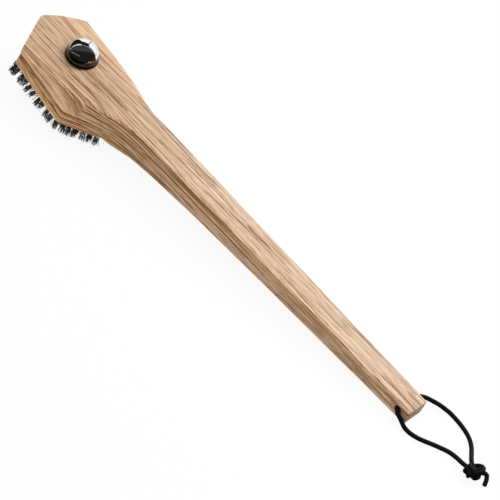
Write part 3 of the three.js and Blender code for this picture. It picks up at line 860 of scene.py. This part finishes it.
# The wraps of the tightened knot: the axis that each goes round, in the knot's own
# frame with X along it, how far it sits along that axis, where it starts and how
# far it goes in turns, and how far out it rides.
KNOT_WRAPS = [
    ((0.80, 0.20, 0.56), -0.46, 0.05, 0.92, 1.0),
    ((0.80, 0.20, 0.56), 0.06, 0.55, 0.95, 1.0),
    ((0.90, -0.30, -0.30), 0.55, 0.20, 0.90, 1.0),
    ((0.92, -0.10, 0.38), -0.78, 0.30, 0.85, 0.95),
    ((-0.50, 0.35, 0.79), 0.10, 0.62, 0.80, 1.13),
    ((0.30, 0.90, 0.30), 0.0, 0.10, 0.90, 0.45),
    ((0.30, -0.20, 0.90), 0.0, 0.40, 0.90, 0.42),
]


def knot_wrap(axis, along, start, sweep, ride, radius):
    """One wrap of cord round the knot, its two ends tucked inside."""
    axis = Vector(axis).normalized()
    first = axis.orthogonal().normalized()
    second = axis.cross(first)
    reach = KNOT_SIZE / 2 - Vector((radius, radius, radius))
    turn = Matrix.Rotation(KNOT_TURN, 3, "Z")
    ring = math.sqrt(1 - along * along)
    points = []
    for i in range(WRAP_STEPS + 1):
        angle = 2 * math.pi * (start + sweep * i / WRAP_STEPS)
        tuck = min(1, 0.5 + 0.5 * min(i, WRAP_STEPS - i) / TUCK_STEPS)
        around = first * math.cos(angle) + second * math.sin(angle)
        ball = (axis * along + around * ring) * ride * tuck
        point = Vector(ball[k] * reach[k] for k in range(3))
        points.append(KNOT_CENTRE + turn @ point)
    return points


def knot_routes(radius):
    """The wraps, and the stubs that carry the strands and the tail into them."""
    routes = [knot_wrap(*wrap, radius) for wrap in KNOT_WRAPS]
    for end in (NEAR_ROUTE[-1], FAR_ROUTE[-1], CUT_TAIL[0]):
        outer = Vector(end)
        routes.append([outer, outer.lerp(KNOT_CENTRE, 0.3), outer.lerp(KNOT_CENTRE, 0.6)])
    return routes


class BRUSH_OT_cord(PieceOperator, bpy.types.Operator):
    """Lay the cord, its knot and its tail"""
    bl_idname = "brush.cord"
    bl_label = "Cord"

    def execute(self, context):
        settings = context.scene.cord_settings
        radius = settings.diameter / 2
        material = cord_material(settings.colour)
        body, slot = "handle_body", "cord_black"

        def lay(name, points, nodes):
            piece = link_mesh(name, cord_tube(name, points, radius))
            piece.data.shade_smooth()
            return dress(piece, material, body, nodes)

        with_knot = [lay("cord_tail_cut", smooth_route(CUT_TAIL), ["cord_tail"])]
        bm = bmesh.new()
        for route in knot_routes(radius):
            tube = cord_tube("strand", smooth_route(route), radius)
            mesh = bpy.data.meshes.new("strand")
            tube.to_mesh(mesh)
            tube.free()
            bm.from_mesh(mesh)
            bpy.data.meshes.remove(mesh)
        knot = link_mesh("cord_knot_tied", bm)
        knot.data.shade_smooth()
        with_knot.append(dress(knot, material, body, ["cord_knot"]))
        strands = [("cord_strand_near", "cord_near", NEAR_ROUTE, with_knot),
                   ("cord_strand_far", "cord_far", FAR_ROUTE, [])]
        for name, node, route, pieces in strands:
            points = smooth_route(route)
            piece = lay(name, points, [node])
        return {"FINISHED"}


# ---- stage ----------------------------------------------------------------------------

# The room that the polished dome mirrors: how far its walls stand, how near the dark
# floor comes, and between which directions, in degrees, that floor is dark.
ROOM_RADIUS = 2.4
ROOM_COLOUR = (0.016, 0.013, 0.011)
TABLE_RADIUS = 0.08
DARK_FLOOR = (145, 410)
FLOOR_LIFT = 0.001

# The glowing cards that it mirrors: strength, and the two edges of each as directions
# from the dome nut, an azimuth and an elevation in degrees.
CARD_DISTANCE = 1.3
WIDE_CARDS = {
    "right_window": (1.1, [(110, 0), (110, 25), (95, 50)], [(55, 0), (60, 25), (80, 50)]),
    "left_window": (1.1, [(145, 0), (145, 30)], [(115, 0), (110, 40)]),
    "side_window": (
        0.75,
        [(-150, -5), (-160, 10), (-175, 50), (-200, 65)],
        [(-155, -5), (-170, 20), (-190, 45), (-200, 55)]),
    "ceiling": (
        0.05,
        [(-160, 10), (-170, 50), (-240, 75), (-295, 60), (-310, 10)],
        [(-145, 10), (-110, 50), (-50, 70), (20, 55), (45, 15)]),
}

# The thin cards: strength, thickness in degrees and one edge. The other edge is that much
# lower and that much further round.
THIN_CARDS = {
    "lamp_strip": (0.45, 3, [(160, 60), (125, 70), (75, 60), (55, 35), (50, 0)]),
    "cable": (0.4, 2, [(-140, 5), (-105, 25), (-70, 30)]),
}

# The lamps: place, where they point, size in metres and watts.
LAMPS = {
    "key_light": ((0.5, 0.9, 1.3), (-0.2, 0, 0.06), (1.1, 0.8), 15),
    "top_light": ((0.0, 0.1, 1.6), (0, 0, 0), (1.6, 1.2), 11),
}
SKY_STRENGTH = 0.53
FLOOR_SIZE = 4
FLOOR_GLOW = 0.92

# The camera: place, the directions of its picture's right and down edges and of its
# view, and its lens and sensor in millimetres.
CAMERA_PLACE = (0.8401, -1.4365, 1.7022)
CAMERA_RIGHT = Vector((0.69325, 0.67621, 0.2493))
CAMERA_DOWN = Vector((0.63613, -0.41153, -0.65267))
CAMERA_AHEAD = Vector((-0.33875, 0.61105, -0.71545))
CAMERA_LENS = 180
CAMERA_SENSOR = 36


def area_light(name, place, target, size, watts):
    """A rectangular lamp that lights the pieces and isn't mirrored in them."""
    data = bpy.data.lights.new(name, "AREA")
    data.shape = "RECTANGLE"
    data.size, data.size_y = size
    data.energy = watts
    lamp = bpy.data.objects.new(name, data)
    lamp.location = place
    lamp.visible_glossy = False
    lamp.rotation_euler = (Vector(target) - Vector(place)).to_track_quat("-Z", "Y").to_euler()
    bpy.context.scene.collection.objects.link(lamp)


def only_reflected(item):
    """Leaves a stage piece to be seen in polished surfaces and nowhere else."""
    item.visible_camera = False
    item.visible_diffuse = False
    item.visible_shadow = False
    item.visible_transmission = False


def glowing(name, colour, strength):
    """A material that only glows."""
    material, tree, shader = new_material(name)
    glow = tree.nodes.new("ShaderNodeEmission")
    glow.inputs["Color"].default_value = (*colour, 1)
    glow.inputs["Strength"].default_value = strength
    tree.links.new(glow.outputs[0], tree.nodes["Material Output"].inputs["Surface"])
    tree.nodes.remove(shader)
    return material


def toward(azimuth, elevation, distance):
    """The place at a distance from the dome nut, in a direction given in degrees."""
    around, up = math.radians(azimuth), math.radians(elevation)
    way = Vector((math.cos(up) * math.cos(around), math.cos(up) * math.sin(around), math.sin(up)))
    return BOLT_POINT + way * distance


def reflected_card(name, left, right, strength):
    """A glowing card between two lists of directions, each an azimuth and an elevation."""
    bm = bmesh.new()
    rows = [[bm.verts.new(toward(*way, CARD_DISTANCE)) for way in pair] for pair in zip(left, right)]
    for (a, b), (c, d) in zip(rows, rows[1:]):
        bm.faces.new((a, b, d, c))
    card = link_mesh(name, bm)
    card.data.materials.append(glowing(name, (1, 1, 1), strength))
    only_reflected(card)


def dark_room():
    """The unlit room that the polished dome mirrors: its walls, and its floor apart from a bright wedge."""
    bm = bmesh.new()
    bmesh.ops.create_uvsphere(bm, u_segments=32, v_segments=16, radius=ROOM_RADIUS)
    bmesh.ops.bisect_plane(bm, geom=bm.verts[:] + bm.edges[:] + bm.faces[:], clear_inner=True,
                           plane_co=(0, 0, FLOOR_LIFT), plane_no=(0, 0, 1))
    around = math.radians(DARK_FLOOR[0])
    way = Vector((math.cos(around), math.sin(around), 0))
    ground = Vector((BOLT_POINT.x, BOLT_POINT.y, FLOOR_LIFT))
    ends = [bm.verts.new(ground + way * reach) for reach in (TABLE_RADIUS, ROOM_RADIUS)]
    bmesh.ops.spin(bm, geom=[*ends, bm.edges.new(ends)], axis=(0, 0, 1), cent=ground,
                   angle=math.radians(DARK_FLOOR[1] - DARK_FLOOR[0]), steps=48)
    room = link_mesh("dark_room", bm)
    room.data.materials.append(glowing("dark_room", ROOM_COLOUR, 1))
    only_reflected(room)


def studio_world(context):
    """A white world as seen and mirrored, which lights the pieces more softly."""
    world = bpy.data.worlds.new("studio")
    world.use_nodes = True
    tree = world.node_tree
    back = tree.nodes["Background"]
    back.inputs["Color"].default_value = (1, 1, 1, 1)
    path = tree.nodes.new("ShaderNodeLightPath")
    seen = maths(tree, "ADD", path.outputs["Is Camera Ray"], path.outputs["Is Glossy Ray"])
    seen = maths(tree, "ADD", seen, path.outputs["Is Transmission Ray"], clamp=True)
    strength = tree.nodes.new("ShaderNodeMapRange")
    tree.links.new(seen, strength.inputs["Value"])
    strength.inputs["To Min"].default_value = SKY_STRENGTH
    strength.inputs["To Max"].default_value = 1
    tree.links.new(strength.outputs["Result"], back.inputs["Strength"])
    context.scene.world = world


def floor_material():
    """A pale floor that stays white where nothing shades it."""
    material, tree, shader = new_material("pale_floor")
    shader.inputs["Base Color"].default_value = (0.8, 0.8, 0.8, 1)
    shader.inputs["Roughness"].default_value = 0.9
    shader.inputs["Specular IOR Level"].default_value = 0.1
    path = tree.nodes.new("ShaderNodeLightPath")
    glow = tree.nodes.new("ShaderNodeEmission")
    glow.inputs["Strength"].default_value = 1
    pale = tree.nodes.new("ShaderNodeMixShader")
    pale.inputs[0].default_value = FLOOR_GLOW
    tree.links.new(shader.outputs[0], pale.inputs[1])
    tree.links.new(glow.outputs[0], pale.inputs[2])
    both = tree.nodes.new("ShaderNodeMixShader")
    tree.links.new(path.outputs["Is Camera Ray"], both.inputs[0])
    tree.links.new(shader.outputs[0], both.inputs[1])
    tree.links.new(pale.outputs[0], both.inputs[2])
    tree.links.new(both.outputs[0], tree.nodes["Material Output"].inputs["Surface"])
    return material


class BRUSH_OT_stage(PieceOperator, bpy.types.Operator):
    """Set the floor, the lights and the camera"""
    bl_idname = "brush.stage"
    bl_label = "Stage"

    def execute(self, context):
        scene = context.scene
        bm = bmesh.new()
        bmesh.ops.create_grid(bm, x_segments=1, y_segments=1, size=FLOOR_SIZE)
        floor = link_mesh("floor", bm)
        floor.data.materials.append(floor_material())
        dark_room()
        for name, (strength, left, right) in WIDE_CARDS.items():
            reflected_card(name, left, right, strength)
        for name, (strength, thick, edge) in THIN_CARDS.items():
            other = [(azimuth + thick, elevation - thick) for azimuth, elevation in edge]
            reflected_card(name, edge, other, strength)
        studio_world(context)
        for name, (place, target, size, watts) in LAMPS.items():
            area_light(name, place, target, size, watts)
        camera_data = bpy.data.cameras.new("camera")
        camera_data.lens = CAMERA_LENS
        camera_data.sensor_width = CAMERA_SENSOR
        camera = bpy.data.objects.new("camera", camera_data)
        turn = Matrix((CAMERA_RIGHT, -CAMERA_DOWN, -CAMERA_AHEAD)).transposed().to_4x4()
        camera.matrix_world = Matrix.Translation(CAMERA_PLACE) @ turn
        scene.collection.objects.link(camera)
        scene.camera = camera
        scene.view_settings.view_transform = "Standard"
        return {"FINISHED"}


class BRUSH_PT_panel(bpy.types.Panel):
    """Lists the pieces of the brush"""
    bl_idname = "BRUSH_PT_panel"
    bl_label = "Grill Brush"
    bl_space_type = "VIEW_3D"
    bl_region_type = "UI"
    bl_category = "Grill Brush"

    def draw(self, context):
        for operator in OPERATORS:
            self.layout.operator(operator.bl_idname)
        for name in SETTINGS:
            box = self.layout.box()
            group = getattr(context.scene, name)
            for key in group.bl_rna.properties.keys():
                if key not in {"rna_type", "name"}:
                    box.prop(group, key)


SETTINGS = {
    "oak_settings": OakSettings,
    "wire_settings": WireSettings,
    "metal_settings": MetalSettings,
    "cord_settings": CordSettings,
}
OPERATORS = [
    BRUSH_OT_stage,
    BRUSH_OT_cord,
    BRUSH_OT_handle,
    BRUSH_OT_block,
    BRUSH_OT_tufts,
    BRUSH_OT_dome,
    BRUSH_OT_fasteners,
]


def register():
    for cls in [*SETTINGS.values(), *OPERATORS, BRUSH_PT_panel]:
        bpy.utils.register_class(cls)
    for name, cls in SETTINGS.items():
        setattr(bpy.types.Scene, name, bpy.props.PointerProperty(type=cls))


def unregister():
    for name in SETTINGS:
        delattr(bpy.types.Scene, name)
    for cls in reversed([*SETTINGS.values(), *OPERATORS, BRUSH_PT_panel]):
        bpy.utils.unregister_class(cls)


def main():
    register()
    bpy.ops.brush.stage()
    bpy.ops.brush.cord()
    bpy.ops.brush.handle()
    bpy.ops.brush.block()
    bpy.ops.brush.tufts()
    bpy.ops.brush.dome()
    bpy.ops.brush.fasteners()


if __name__ == "__main__":
    main()
